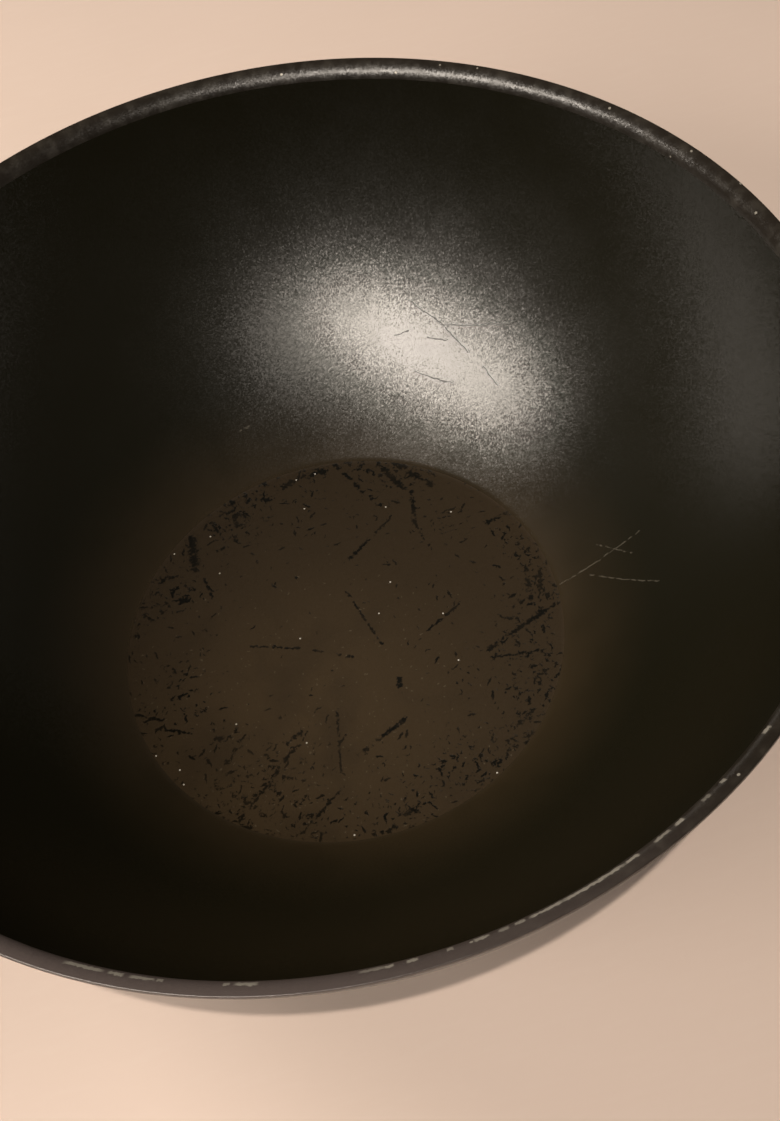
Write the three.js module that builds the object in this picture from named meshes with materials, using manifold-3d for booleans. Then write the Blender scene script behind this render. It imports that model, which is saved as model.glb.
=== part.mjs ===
// A 30 cm non-stick wok: a coated aluminium shell with a pressed-in steel base disc, and a long handle
// held by a riveted cast bracket, a steel flame guard, a moulded grip and one long tie screw.
//
// Millimetres, +Z up. The origin is the centre of the base disc's underside, on the surface that the wok
// stands on. The handle points along -X.

import * as THREE from "three";
import { mergeVertices } from "three/addons/utils/BufferGeometryUtils.js";
import Module from "manifold-3d";

const wasm = await Module();
wasm.setup();

// ---------------------------------------------------------------- driving dimensions

// Shell
const RIM_RADIUS = 150; // outer edge of the lip
const RIM_HEIGHT = 108; // top of the lip
const LIP_ROUNDING = 5.6; // large radius from the lip's top edge down into the wall
const LIP_FLANK = 1.2; // short upright outer face of the lip
const LIP_EDGE = 0.3; // small break of the lip's top edge
const FLOOR_RADIUS = 69.3; // flat cooking floor
const FLOOR_LEVEL = 5.5;
const FLOOR_FILLET = 4; // length of wall that blends into the floor
const RIM_SLOPE = rad(76); // how steep the wall is where it meets the lip
const WALL = 3; // wall thickness
const UNDERSIDE = 0.8; // the shell's lowest face, just above the hob

// Base disc
const BASE_RADIUS = 60;
const BASE_THICKNESS = 2;
const BASE_BEVEL = 0.4;

// Handle
const FIT_GAP = 0.3; // clearance between pieces that fit into or against each other
const BRACKET_SLOPE = rad(68); // how steep the wall is at the bracket's centre
const HANDLE_RISE = rad(14);
const PAD_WIDTH = 76;
const PAD_HEIGHT = 30;
const PAD_THICKNESS = 5;
const RIVET_SPREAD = rad(10.5); // each rivet's turn about the wok's axis, away from the handle
const RIVET_RADIUS = 3;
const RIVET_HEAD_RADIUS = 7;
const RIVET_HEAD_HEIGHT = 2.2;
const RIVET_TAIL_RADIUS = 5;
const RIVET_TAIL_HEIGHT = 2;
const TENON_HALF_WIDTH = 8;
const TENON_HALF_HEIGHT = 5.5;
const TENON_END = 84; // distances along the handle start at the wall's outer face
const GUARD_START = 30;
const GUARD_END = 64;
const GUARD_SHEET = 1;
const SPIGOT_LENGTH = 6; // the part of the grip that sits inside the flame guard
const GRIP_END = 238;
const SLOT_START = 202; // hanging hole
const SLOT_END = 226;
const SLOT_HALF_WIDTH = 5;
const SCREW_RADIUS = 2.5;
const SCREW_HEAD_RADIUS = 4.4;
const SCREW_HEAD_HEIGHT = 3.2;
const HEAD_POCKET = 7; // depth of the pocket that holds the screw's head
const WASHER_THICKNESS = 1;

// How finely round shapes are cut
const AROUND_SHELL = 72;
const AROUND_BASE = 64;
const AROUND_SMALL = 20;
const AROUND_GRIP = 28;

function rad(degrees) {
  return (degrees * Math.PI) / 180;
}

// ---------------------------------------------------------------- solids

function solidOf(geometry) {
  const bare = geometry.clone();
  bare.deleteAttribute("normal");
  bare.deleteAttribute("uv");
  const merged = mergeVertices(bare, 1e-3);
  return new wasm.Manifold(
    new wasm.Mesh({
      numProp: 3,
      vertProperties: merged.attributes.position.array,
      triVerts: new Uint32Array(merged.index.array),
    }),
  );
}

function geometryOf(solid) {
  const cut = solid.getMesh();
  const geometry = new THREE.BufferGeometry();
  geometry.setAttribute("position", new THREE.BufferAttribute(cut.vertProperties, 3));
  geometry.setIndex(new THREE.BufferAttribute(cut.triVerts, 1));
  geometry.computeVertexNormals();
  return geometry;
}

function subtractAll(geometry, cutters) {
  return geometryOf(cutters.reduce((solid, cutter) => solid.subtract(solidOf(cutter)), solidOf(geometry)));
}

// An outline of [radius, height] pairs turned about +Z. It starts and ends on the axis, or closes on itself.
function turned(outline, around) {
  const points = outline.map(([radius, height]) => new THREE.Vector2(radius, height));
  return new THREE.LatheGeometry(points, around).rotateX(Math.PI / 2);
}

// Points on an arc in the outline's plane, from one angle to another, both measured from the downward radius.
function arc([centreR, centreZ], radius, from, to, steps) {
  return Array.from({ length: steps + 1 }, (_, i) => {
    const angle = from + ((to - from) * i) / steps;
    return [centreR + radius * Math.sin(angle), centreZ - radius * Math.cos(angle)];
  });
}

// A closed skin through rounded sections that follow each other along +X.
function lofted(sections, around) {
  const positions = [];
  const triangles = [];
  for (const { x, halfWidth, halfHeight, lift = 0, squareness = 2 } of sections) {
    for (let i = 0; i < around; i++) {
      const angle = (2 * Math.PI * i) / around;
      const y = halfWidth * softSquare(Math.cos(angle), squareness);
      const z = lift + halfHeight * softSquare(Math.sin(angle), squareness);
      positions.push(x, y, z);
    }
  }
  for (let s = 0; s + 1 < sections.length; s++) {
    for (let i = 0; i < around; i++) {
      const a = s * around + i;
      const b = s * around + ((i + 1) % around);
      triangles.push(a, b, b + around, a, b + around, a + around);
    }
  }
  const last = (sections.length - 1) * around;
  for (let i = 1; i + 1 < around; i++) {
    triangles.push(0, i + 1, i, last, last + i, last + i + 1);
  }
  const geometry = new THREE.BufferGeometry();
  geometry.setAttribute("position", new THREE.Float32BufferAttribute(positions, 3));
  geometry.setIndex(triangles);
  geometry.computeVertexNormals();
  return geometry;
}

// 2 gives an ellipse, and larger numbers a fuller, squarer oval.
function softSquare(value, squareness) {
  return Math.sign(value) * Math.abs(value) ** (2 / squareness);
}

// A round bar along +X.
function bar(radius, from, to) {
  const length = to - from;
  return new THREE.CylinderGeometry(radius, radius, length, AROUND_SMALL)
    .rotateZ(-Math.PI / 2)
    .translate(from + length / 2, 0, 0);
}

// ---------------------------------------------------------------- the wall's curve

// The wall is one arc, in section, from the floor's edge to the lip. Its slope at the lip is given, and
// its slope at the floor follows from the chord between its ends.
const lipCentre = [RIM_RADIUS + 0.4, RIM_HEIGHT - LIP_ROUNDING];
const wallTop = [
  lipCentre[0] - LIP_ROUNDING * Math.sin(RIM_SLOPE),
  lipCentre[1] + LIP_ROUNDING * Math.cos(RIM_SLOPE),
];
const chordRun = wallTop[0] - FLOOR_RADIUS;
const chordRise = wallTop[1] - FLOOR_LEVEL;
const FLOOR_SLOPE = 2 * Math.atan2(chordRise, chordRun) - RIM_SLOPE;
const WALL_CURVE = Math.hypot(chordRun, chordRise) / (2 * Math.sin((RIM_SLOPE - FLOOR_SLOPE) / 2));
const wallCentre = [
  FLOOR_RADIUS - WALL_CURVE * Math.sin(FLOOR_SLOPE),
  FLOOR_LEVEL + WALL_CURVE * Math.cos(FLOOR_SLOPE),
];

// Where the wall's arc, at some distance outside its inner face, has come down to a height.
function slopeAtHeight(outside, height) {
  return Math.acos((wallCentre[1] - height) / (WALL_CURVE + outside));
}

// The point and the outward direction of the wall's outer face, at a slope and a turn about the wok's axis.
function outerFace(slope, turn) {
  const [[radius, height]] = arc(wallCentre, WALL_CURVE + WALL, slope, slope, 1);
  const outward = new THREE.Vector3(Math.cos(turn), Math.sin(turn), 0);
  return {
    point: outward.clone().multiplyScalar(radius).setZ(height),
    direction: outward.clone().multiplyScalar(Math.sin(slope)).setZ(-Math.cos(slope)),
  };
}

// ---------------------------------------------------------------- shell and base

function shellOutline() {
  const footSlope = slopeAtHeight(WALL, UNDERSIDE);
  const recess = BASE_RADIUS + FIT_GAP;
  const lipBottom = RIM_HEIGHT - LIP_FLANK;
  return [
    [0, BASE_THICKNESS],
    [recess, BASE_THICKNESS],
    [recess, UNDERSIDE],
    ...arc(wallCentre, WALL_CURVE + WALL, footSlope, RIM_SLOPE - rad(1), 12),
    [RIM_RADIUS - 1.4, lipBottom - 1.8],
    [RIM_RADIUS - 0.4, lipBottom - 0.6],
    [RIM_RADIUS, lipBottom],
    [RIM_RADIUS, RIM_HEIGHT - LIP_EDGE],
    ...arc(lipCentre, LIP_ROUNDING, Math.PI + rad(8), Math.PI + RIM_SLOPE, 6),
    ...arc(wallCentre, WALL_CURVE, RIM_SLOPE - rad(3), FLOOR_SLOPE + FLOOR_FILLET / WALL_CURVE, 13),
    [FLOOR_RADIUS + FLOOR_FILLET * 0.15, FLOOR_LEVEL + FLOOR_FILLET * 0.17],
    [FLOOR_RADIUS - FLOOR_FILLET * 0.8, FLOOR_LEVEL],
    [0, FLOOR_LEVEL],
  ];
}

function panShell() {
  const rivetHoles = rivetPlaces.map((place) => onAxis(rivetHole(), place));
  return subtractAll(turned(shellOutline(), AROUND_SHELL), rivetHoles);
}

function baseDisc() {
  const flat = BASE_RADIUS - BASE_BEVEL;
  const outline = [
    [0, 0],
    [flat, 0],
    [BASE_RADIUS, BASE_BEVEL],
    [BASE_RADIUS, BASE_THICKNESS],
    [0, BASE_THICKNESS],
  ];
  return turned(outline, AROUND_BASE);
}

// ---------------------------------------------------------------- rivets

// Turns a shape made about +Z so that it stands on a point, along a direction.
function onAxis(geometry, { point, direction }) {
  const turn = new THREE.Quaternion().setFromUnitVectors(new THREE.Vector3(0, 0, 1), direction);
  return geometry.applyQuaternion(turn).translate(point.x, point.y, point.z);
}

function rivetHole() {
  const radius = RIVET_RADIUS + FIT_GAP;
  const length = 4 * PAD_THICKNESS;
  return new THREE.CylinderGeometry(radius, radius, length, AROUND_SMALL).rotateX(Math.PI / 2);
}

// Height 0 is the wall's outer face. The domed head is inside the wok and the flat tail outside the bracket.
function rivet() {
  const headSeat = -(WALL + 2 * FIT_GAP);
  const headTop = headSeat - RIVET_HEAD_HEIGHT;
  const tailSeat = PAD_THICKNESS + 2 * FIT_GAP;
  const tailTop = tailSeat + RIVET_TAIL_HEIGHT;
  const outline = [
    [0, headTop],
    [0.45 * RIVET_HEAD_RADIUS, headTop + 0.2],
    [0.8 * RIVET_HEAD_RADIUS, headTop + 0.75],
    [RIVET_HEAD_RADIUS, headSeat - 0.6],
    [RIVET_HEAD_RADIUS, headSeat],
    [RIVET_RADIUS, headSeat],
    [RIVET_RADIUS, tailSeat],
    [RIVET_TAIL_RADIUS, tailSeat],
    [RIVET_TAIL_RADIUS, tailTop - 0.5],
    [RIVET_TAIL_RADIUS - 0.5, tailTop],
    [0, tailTop],
  ];
  return turned(outline, AROUND_SMALL);
}

// ---------------------------------------------------------------- bracket

// The space filled by the wok's outer face and a gap round it, used to shape what lies against the wall.
function wallEnvelope(outside) {
  const curve = arc(wallCentre, WALL_CURVE + WALL + outside, rad(45), rad(89), 12);
  const top = curve[curve.length - 1][1];
  const outline = [[0, curve[0][1]], ...curve, [0, top]];
  return solidOf(turned(outline, 2 * AROUND_SHELL));
}

// A rounded rectangle seen along the handle, pushed out from inside the wok.
function padBlock(centreHeight) {
  const half = PAD_HEIGHT / 2;
  const side = PAD_WIDTH / 2 - half;
  const outline = new THREE.Shape();
  outline.absarc(0, side, half, 0, Math.PI, false);
  outline.absarc(0, -side, half, Math.PI, 2 * Math.PI, false);
  outline.closePath();
  return new THREE.ExtrudeGeometry(outline, { depth: RIM_RADIUS, bevelEnabled: false, curveSegments: 10 })
    .rotateY(-Math.PI / 2)
    .translate(-RIM_RADIUS / 2, 0, centreHeight);
}

function tenon(grow, from, to) {
  const section = { halfWidth: TENON_HALF_WIDTH + grow, halfHeight: TENON_HALF_HEIGHT + grow, squareness: 5 };
  return lofted(
    [
      { x: from, ...section },
      { x: to, ...section },
    ],
    AROUND_GRIP,
  );
}

// The neck leaves the pad wide, narrows, and carries the tenon.
function neck() {
  const shoulder = GUARD_START - FIT_GAP;
  return lofted(
    [
      { x: -7, halfWidth: 21, halfHeight: 11.5, squareness: 2.6 },
      { x: 4, halfWidth: 18.5, halfHeight: 10.5, squareness: 2.6 },
      { x: 9, halfWidth: 15.5, halfHeight: 9.6, squareness: 2.5 },
      { x: 15, halfWidth: 13.4, halfHeight: 9, squareness: 2.4 },
      { x: 22, halfWidth: 12.4, halfHeight: 8.6, squareness: 2.4 },
      { x: shoulder, halfWidth: 12, halfHeight: 8.4, squareness: 2.4 },
    ],
    AROUND_GRIP,
  );
}

function handleBracket() {
  const alongHandle = handle.matrixWorld;
  const pad = solidOf(padBlock(handle.position.z)).intersect(wallEnvelope(FIT_GAP + PAD_THICKNESS));
  const stalk = solidOf(neck().applyMatrix4(alongHandle));
  const tongue = solidOf(tenon(0, GUARD_START - 2, TENON_END).applyMatrix4(alongHandle));
  const thread = solidOf(bar(SCREW_RADIUS + FIT_GAP, TENON_END - 24, TENON_END + 1).applyMatrix4(alongHandle));
  const body = pad.add(stalk).add(tongue).subtract(wallEnvelope(FIT_GAP)).subtract(thread);
  return subtractAll(
    geometryOf(body),
    rivetPlaces.map((place) => onAxis(rivetHole(), place)),
  );
}

// ---------------------------------------------------------------- flame guard, grip and tie screw

function flameGuard() {
  const sections = [
    { x: GUARD_START, halfWidth: 12.2, halfHeight: 8.6, squareness: 2.4 },
    { x: GUARD_START + 1, halfWidth: 13, halfHeight: 9.4, squareness: 2.4 },
    { x: GUARD_START + 14, halfWidth: 14.2, halfHeight: 10.4, squareness: 2.4 },
    { x: GUARD_END, halfWidth: 15.2, halfHeight: 11.4, squareness: 2.4 },
  ];
  const hollow = sections.slice(1).map(({ x, halfWidth, halfHeight, squareness }) => ({
    x: x < GUARD_END ? x : x + 1,
    halfWidth: halfWidth - GUARD_SHEET,
    halfHeight: halfHeight - GUARD_SHEET,
    squareness,
  }));
  return subtractAll(lofted(sections, AROUND_GRIP), [
    lofted(hollow, AROUND_GRIP),
    tenon(FIT_GAP, GUARD_START - 1, GUARD_START + 2),
  ]);
}

function gripBody() {
  const start = GUARD_END + FIT_GAP;
  const spigot = { halfWidth: 13.7, halfHeight: 9.9, squareness: 2.4 };
  return lofted(
    [
      { x: GUARD_END - SPIGOT_LENGTH, ...spigot, halfWidth: 13.3, halfHeight: 9.5 },
      { x: start, ...spigot },
      { x: start, halfWidth: 14.8, halfHeight: 11, squareness: 2.4 },
      { x: start + 1, halfWidth: 15.2, halfHeight: 11.4, squareness: 2.4 },
      { x: start + 14, halfWidth: 14.4, halfHeight: 10.9, squareness: 2.4 },
      { x: start + 32, halfWidth: 13.6, halfHeight: 10.4, lift: -0.3, squareness: 2.4 },
      { x: start + 56, halfWidth: 13.8, halfHeight: 10.4, lift: -0.8, squareness: 2.4 },
      { x: start + 80, halfWidth: 14.6, halfHeight: 10.5, lift: -1, squareness: 2.5 },
      { x: start + 104, halfWidth: 15, halfHeight: 10, lift: -0.8, squareness: 2.6 },
      { x: start + 128, halfWidth: 14.8, halfHeight: 9.2, lift: -0.3, squareness: 2.7 },
      { x: start + 150, halfWidth: 14.2, halfHeight: 8.4, lift: 0.2, squareness: 2.7 },
      { x: GRIP_END - 14, halfWidth: 13.2, halfHeight: 8, lift: 0.4, squareness: 2.7 },
      { x: GRIP_END - 6, halfWidth: 11.2, halfHeight: 7.4, lift: 0.5, squareness: 2.6 },
      { x: GRIP_END - 1.5, halfWidth: 8, halfHeight: 6.4, lift: 0.5, squareness: 2.4 },
      { x: GRIP_END, halfWidth: 6, halfHeight: 5.4, lift: 0.5, squareness: 2.2 },
    ],
    AROUND_GRIP,
  );
}

function hangingSlot() {
  const outline = new THREE.Shape();
  outline.absarc(SLOT_END - SLOT_HALF_WIDTH, 0, SLOT_HALF_WIDTH, -Math.PI / 2, Math.PI / 2, false);
  outline.absarc(SLOT_START + SLOT_HALF_WIDTH, 0, SLOT_HALF_WIDTH, Math.PI / 2, (3 * Math.PI) / 2, false);
  outline.closePath();
  const depth = 40;
  const block = new THREE.ExtrudeGeometry(outline, { depth, bevelEnabled: false, curveSegments: 10 });
  return block.translate(0, 0, -depth / 2);
}

// The screw goes in through the tail, crosses the hanging hole and seats in a pocket in the hole's near wall.
function handleGrip() {
  const pocketRadius = SCREW_HEAD_RADIUS + 2 * FIT_GAP;
  return subtractAll(gripBody(), [
    tenon(FIT_GAP, GUARD_END - SPIGOT_LENGTH - 1, TENON_END + FIT_GAP),
    bar(SCREW_RADIUS + FIT_GAP, TENON_END, SLOT_START - HEAD_POCKET + 1),
    bar(pocketRadius, SLOT_START - HEAD_POCKET, SLOT_START + 1),
    hangingSlot(),
    bar(pocketRadius - FIT_GAP, SLOT_END - 1, GRIP_END + 1),
  ]);
}

const washerSeat = SLOT_START - HEAD_POCKET + FIT_GAP;

function washer() {
  const outline = [
    [SCREW_RADIUS + FIT_GAP, washerSeat],
    [SCREW_HEAD_RADIUS, washerSeat],
    [SCREW_HEAD_RADIUS, washerSeat + WASHER_THICKNESS],
    [SCREW_RADIUS + FIT_GAP, washerSeat + WASHER_THICKNESS],
    [SCREW_RADIUS + FIT_GAP, washerSeat],
  ];
  return turned(outline, AROUND_SMALL).rotateY(Math.PI / 2);
}

function tieScrew() {
  const end = TENON_END - 22;
  const headSeat = washerSeat + WASHER_THICKNESS + FIT_GAP;
  const headTop = headSeat + SCREW_HEAD_HEIGHT;
  const outline = [
    [0, end],
    [SCREW_RADIUS - 0.6, end],
    [SCREW_RADIUS, end + 0.8],
    [SCREW_RADIUS, headSeat],
    [SCREW_HEAD_RADIUS, headSeat],
    [SCREW_HEAD_RADIUS, headTop - 1.2],
    [SCREW_HEAD_RADIUS - 1, headTop - 0.2],
    [0, headTop],
  ];
  const driveSlot = new THREE.BoxGeometry(2.4, 3 * SCREW_HEAD_RADIUS, 1.2).translate(headTop, 0, 0);
  return subtractAll(turned(outline, AROUND_SMALL).rotateY(Math.PI / 2), [driveSlot]);
}

// ---------------------------------------------------------------- assembly

const finishes = {
  coating: { color: 0x14130f, roughness: 0.5, metalness: 0.2 },
  steel: { color: 0xb4b4b2, roughness: 0.35, metalness: 1 },
  aluminium: { color: 0x8f8f8c, roughness: 0.45, metalness: 1 },
  phenolic: { color: 0x121212, roughness: 0.5, metalness: 0 },
};

function piece(name, geometry, finish) {
  const mesh = new THREE.Mesh(geometry, new THREE.MeshStandardMaterial(finishes[finish]));
  mesh.name = name;
  return mesh;
}

// The handle's own frame: +X runs out along it from the wall's outer face, and its Z is up.
const handle = new THREE.Group();
handle.position.copy(outerFace(BRACKET_SLOPE, Math.PI).point);
handle.rotation.set(0, -HANDLE_RISE, Math.PI, "ZYX");
handle.updateMatrixWorld(true);

const rivetPlaces = [-1, 1].map((side) => outerFace(BRACKET_SLOPE, Math.PI + side * RIVET_SPREAD));

const wok = new THREE.Group();
wok.add(
  piece("pan_shell", panShell(), "coating"),
  piece("base_disc", baseDisc(), "steel"),
  piece("handle_bracket", handleBracket(), "aluminium"),
);
["rivet_left", "rivet_right"].forEach((name, i) => {
  wok.add(piece(name, onAxis(rivet(), rivetPlaces[i]), "aluminium"));
});
handle.add(
  piece("flame_guard", flameGuard(), "steel"),
  piece("handle_grip", handleGrip(), "phenolic"),
  piece("screw_washer", washer(), "steel"),
  piece("tie_screw", tieScrew(), "steel"),
);
wok.add(handle);

export default wok;
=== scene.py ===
"""Looks of the 30 cm non-stick wok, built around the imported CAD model.

Shapes are written in millimetres in the part's own frame and are turned into metres when a mesh is made.
"""

import math
from functools import reduce

import bmesh
import bpy
from mathutils import Matrix, Quaternion, Vector


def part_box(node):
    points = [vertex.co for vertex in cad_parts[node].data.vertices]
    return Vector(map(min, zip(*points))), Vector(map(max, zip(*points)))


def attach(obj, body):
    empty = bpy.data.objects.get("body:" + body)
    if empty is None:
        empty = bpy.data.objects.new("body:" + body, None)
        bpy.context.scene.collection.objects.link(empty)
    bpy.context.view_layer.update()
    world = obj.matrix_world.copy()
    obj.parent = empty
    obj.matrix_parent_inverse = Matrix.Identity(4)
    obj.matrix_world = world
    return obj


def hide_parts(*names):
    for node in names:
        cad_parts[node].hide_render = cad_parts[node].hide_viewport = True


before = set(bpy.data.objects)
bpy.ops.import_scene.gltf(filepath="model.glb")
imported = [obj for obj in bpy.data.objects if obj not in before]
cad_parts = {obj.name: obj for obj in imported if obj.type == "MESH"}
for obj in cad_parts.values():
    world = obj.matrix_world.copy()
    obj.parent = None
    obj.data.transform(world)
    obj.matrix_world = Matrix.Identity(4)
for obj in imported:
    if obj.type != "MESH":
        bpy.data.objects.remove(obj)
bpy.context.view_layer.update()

MM = 0.001


def rad(degrees):
    return math.radians(degrees)


# ---------------------------------------------------------------- sizes, from the frame where it gives them

shell_low, shell_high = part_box("pan_shell")
base_low, base_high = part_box("base_disc")

RIM_RADIUS = shell_high.x / MM
RIM_HEIGHT = shell_high.z / MM
BASE_RADIUS = base_high.x / MM
BASE_THICKNESS = base_high.z / MM

LIP_ROUNDING = 5.6
LIP_FLANK = 1.2
FLOOR_RADIUS = 69.3
FLOOR_LEVEL = 5.5
FLOOR_BLEND = 6.0  # radius of the soft corner between the cooking floor and the wall
RIM_SLOPE = rad(76)
WALL = 3.0
UNDERSIDE = 0.8

FIT_GAP = 0.3
BRACKET_SLOPE = rad(68)
HANDLE_RISE = rad(14)
PAD_WIDTH = 76
PAD_HEIGHT = 30
PAD_THICKNESS = 5
RIVET_SPREAD = rad(10.5)
RIVET_RADIUS = 3
RIVET_HEAD_RADIUS = 7
RIVET_HEAD_HEIGHT = 2.2
RIVET_TAIL_RADIUS = 5
RIVET_TAIL_HEIGHT = 2
TENON_HALF_WIDTH = 8
TENON_HALF_HEIGHT = 5.5
TENON_END = 84
GUARD_START = 30
GUARD_END = 64
GUARD_SHEET = 1
SPIGOT_LENGTH = 6
GRIP_END = 238
SLOT_START = 202
SLOT_END = 226
SLOT_HALF_WIDTH = 5
SCREW_RADIUS = 2.5
SCREW_HEAD_RADIUS = 4.4
SCREW_HEAD_HEIGHT = 3.2
THREAD_PITCH = 0.8
THREAD_TURNS = 28
DRIVE_WIDTH = 1.2
DRIVE_DEPTH = 1.2
HEAD_POCKET = 7
WASHER_THICKNESS = 1

# Points round each kind of shape, and steps along the shell's outline.
AROUND_SHELL = 384
AROUND_SMALL = 64
AROUND_GRIP = 72
FLAT_STEPS = 12
BLEND_STEPS = 8
WALL_STEPS = 56
LIP_STEPS = 16


# ---------------------------------------------------------------- meshes


def piece(name, mesh, place=None):
    """A visible object made of one mesh, in its own frame `place`."""
    made = bpy.data.objects.new(name, mesh)
    bpy.context.scene.collection.objects.link(made)
    made.matrix_world = place or Matrix.Identity(4)
    return made


def mesh_of(name, points, faces):
    """A smooth-shaded mesh from points in millimetres."""
    mesh = bpy.data.meshes.new(name)
    mesh.from_pydata([Vector(p) * MM for p in points], [], faces)
    clean = bmesh.new()
    clean.from_mesh(mesh)
    bmesh.ops.recalc_face_normals(clean, faces=clean.faces)
    clean.to_mesh(mesh)
    clean.free()
    mesh.shade_smooth()
    return mesh


def turned(name, outline, around):
    """An outline of (radius, height) pairs turned about +Z. It ends on the axis, or closes on itself."""
    points = []
    rings = []
    for radius, height in outline:
        if radius == 0:
            rings.append([len(points)] * around)
            points.append((0, 0, height))
            continue
        rings.append(range(len(points), len(points) + around))
        for i in range(around):
            angle = 2 * math.pi * i / around
            points.append((radius * math.cos(angle), radius * math.sin(angle), height))
    closed = outline[0][0] != 0
    pairs = list(zip(rings, rings[1:]))
    if closed:
        pairs.append((rings[-1], rings[0]))
    faces = []
    for low, high in pairs:
        for i in range(around):
            j = (i + 1) % around
            corners = [low[i], low[j], high[j], high[i]]
            faces.append(list(dict.fromkeys(corners)))
    return mesh_of(name, points, faces)


def arc(centre, radius, start, end, steps):
    """Points on an arc in the outline's plane, with angles measured from the downward radius."""
    angles = [start + (end - start) * i / steps for i in range(steps + 1)]
    return [(centre[0] + radius * math.sin(a), centre[1] - radius * math.cos(a)) for a in angles]


def soft_square(value, squareness):
    """2 gives an ellipse, and larger numbers a fuller, squarer oval."""
    return math.copysign(abs(value) ** (2 / squareness), value)


def blended(sections, per_gap):
    """Sections (x, half width, half height, lift, squareness) with smooth in-between ones added."""
    result = []
    for k in range(len(sections) - 1):
        before = sections[max(k - 1, 0)]
        start = sections[k]
        end = sections[k + 1]
        after = sections[min(k + 2, len(sections) - 1)]
        gap = max(end[0] - start[0], 1e-6)
        for i in range(per_gap):
            t = i / per_gap
            row = [start[0] + t * gap]
            for c in range(1, 5):
                slope_in = (end[c] - before[c]) / max(end[0] - before[0], 1e-6) * gap
                slope_out = (after[c] - start[c]) / max(after[0] - start[0], 1e-6) * gap
                row.append(
                    (2 * t**3 - 3 * t**2 + 1) * start[c]
                    + (t**3 - 2 * t**2 + t) * slope_in
                    + (3 * t**2 - 2 * t**3) * end[c]
                    + (t**3 - t**2) * slope_out
                )
            result.append(tuple(row))
    return result + [sections[-1]]


def lofted(name, sections, around):
    """A closed skin through rounded sections that follow each other along +X."""
    points = []
    for x, half_width, half_height, lift, squareness in sections:
        for i in range(around):
            angle = 2 * math.pi * i / around
            y = half_width * soft_square(math.cos(angle), squareness)
            z = lift + half_height * soft_square(math.sin(angle), squareness)
            points.append((x, y, z))
    faces = []
    for s in range(len(sections) - 1):
        for i in range(around):
            a = s * around + i
            b = s * around + (i + 1) % around
            faces.append([a, b, b + around, a + around])
    last = (len(sections) - 1) * around
    faces.append(list(range(around)))
    faces.append(list(range(last, last + around)))
    return mesh_of(name, points, faces)


def bar(name, radius, start, end):
    """A round bar along +X."""
    mesh = turned(name, [(0, start), (radius, start), (radius, end), (0, end)], AROUND_SMALL)
    mesh.transform(Matrix.Rotation(math.pi / 2, 4, "Y"))
    return mesh


def stadium(name, centre_a, centre_b, radius, low, high):
    """A block with two round ends, standing on Z from low to high, its ends centred on two points."""
    along = (Vector(centre_b) - Vector(centre_a)).normalized()
    first = math.atan2(along.y, along.x) + math.pi / 2
    ring = []
    for centre, start in ((centre_a, first), (centre_b, first + math.pi)):
        for i in range(25):
            angle = start + math.pi * i / 24
            ring.append((centre[0] + radius * math.cos(angle), centre[1] + radius * math.sin(angle)))
    count = len(ring)
    points = [(x, y, low) for x, y in ring] + [(x, y, high) for x, y in ring]
    faces = [list(range(count)), list(range(count, 2 * count))]
    for i in range(count):
        j = (i + 1) % count
        faces.append([i, j, j + count, i + count])
    return mesh_of(name, points, faces)


def combine(target, meshes, operation, places=None):
    """Joins meshes to, or cuts them from, a piece, and applies the result."""
    for k, mesh in enumerate(meshes):
        other = piece("cutter", mesh, places[k] if places else target.matrix_world)
        step = target.modifiers.new(operation, "BOOLEAN")
        step.operation = operation
        step.solver = "EXACT"
        step.object = other
        bpy.context.view_layer.objects.active = target
        bpy.ops.object.modifier_apply(modifier=step.name)
        bpy.data.objects.remove(other)
        bpy.data.meshes.remove(mesh)


def bevelled(target, width, segments, angle):
    """Small round edges where faces meet at more than an angle, and clean shading."""
    step = target.modifiers.new("edges", "BEVEL")
    step.width = width * MM
    step.segments = segments
    step.limit_method = "ANGLE"
    step.angle_limit = angle
    step.harden_normals = True
    bpy.context.view_layer.objects.active = target
    bpy.ops.object.modifier_apply(modifier=step.name)


def settled(target):
    """Moves a piece's place into its mesh, so that its object sits at the origin like the CAD's."""
    target.data.transform(target.matrix_world)
    target.matrix_world = Matrix.Identity(4)
    return target


def sharpen(target, angle=rad(40)):
    """Keeps real corners crisp in a smooth-shaded piece."""
    target.data.set_sharp_from_angle(angle=angle)


# ---------------------------------------------------------------- the wall's curve

lip_centre = (RIM_RADIUS + 0.4, RIM_HEIGHT - LIP_ROUNDING)
wall_top = (
    lip_centre[0] - LIP_ROUNDING * math.sin(RIM_SLOPE),
    lip_centre[1] + LIP_ROUNDING * math.cos(RIM_SLOPE),
)
chord = (wall_top[0] - FLOOR_RADIUS, wall_top[1] - FLOOR_LEVEL)
FLOOR_SLOPE = 2 * math.atan2(chord[1], chord[0]) - RIM_SLOPE
WALL_CURVE = math.hypot(*chord) / (2 * math.sin((RIM_SLOPE - FLOOR_SLOPE) / 2))
wall_centre = (
    FLOOR_RADIUS - WALL_CURVE * math.sin(FLOOR_SLOPE),
    FLOOR_LEVEL + WALL_CURVE * math.cos(FLOOR_SLOPE),
)


def outer_face(slope, turn):
    """The point and the outward direction of the wall's outer face, at a slope and a turn about the axis."""
    radius = wall_centre[0] + (WALL_CURVE + WALL) * math.sin(slope)
    height = wall_centre[1] - (WALL_CURVE + WALL) * math.cos(slope)
    point = Vector((radius * math.cos(turn), radius * math.sin(turn), height))
    outward = Vector(
        (math.sin(slope) * math.cos(turn), math.sin(slope) * math.sin(turn), -math.cos(slope))
    )
    return point, outward


def standing_on(place):
    """The frame of a shape made about +Z that stands on a point, along a direction."""
    point, direction = place
    turn = Vector((0, 0, 1)).rotation_difference(direction)
    return Matrix.Translation(point * MM) @ turn.to_matrix().to_4x4()


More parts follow.
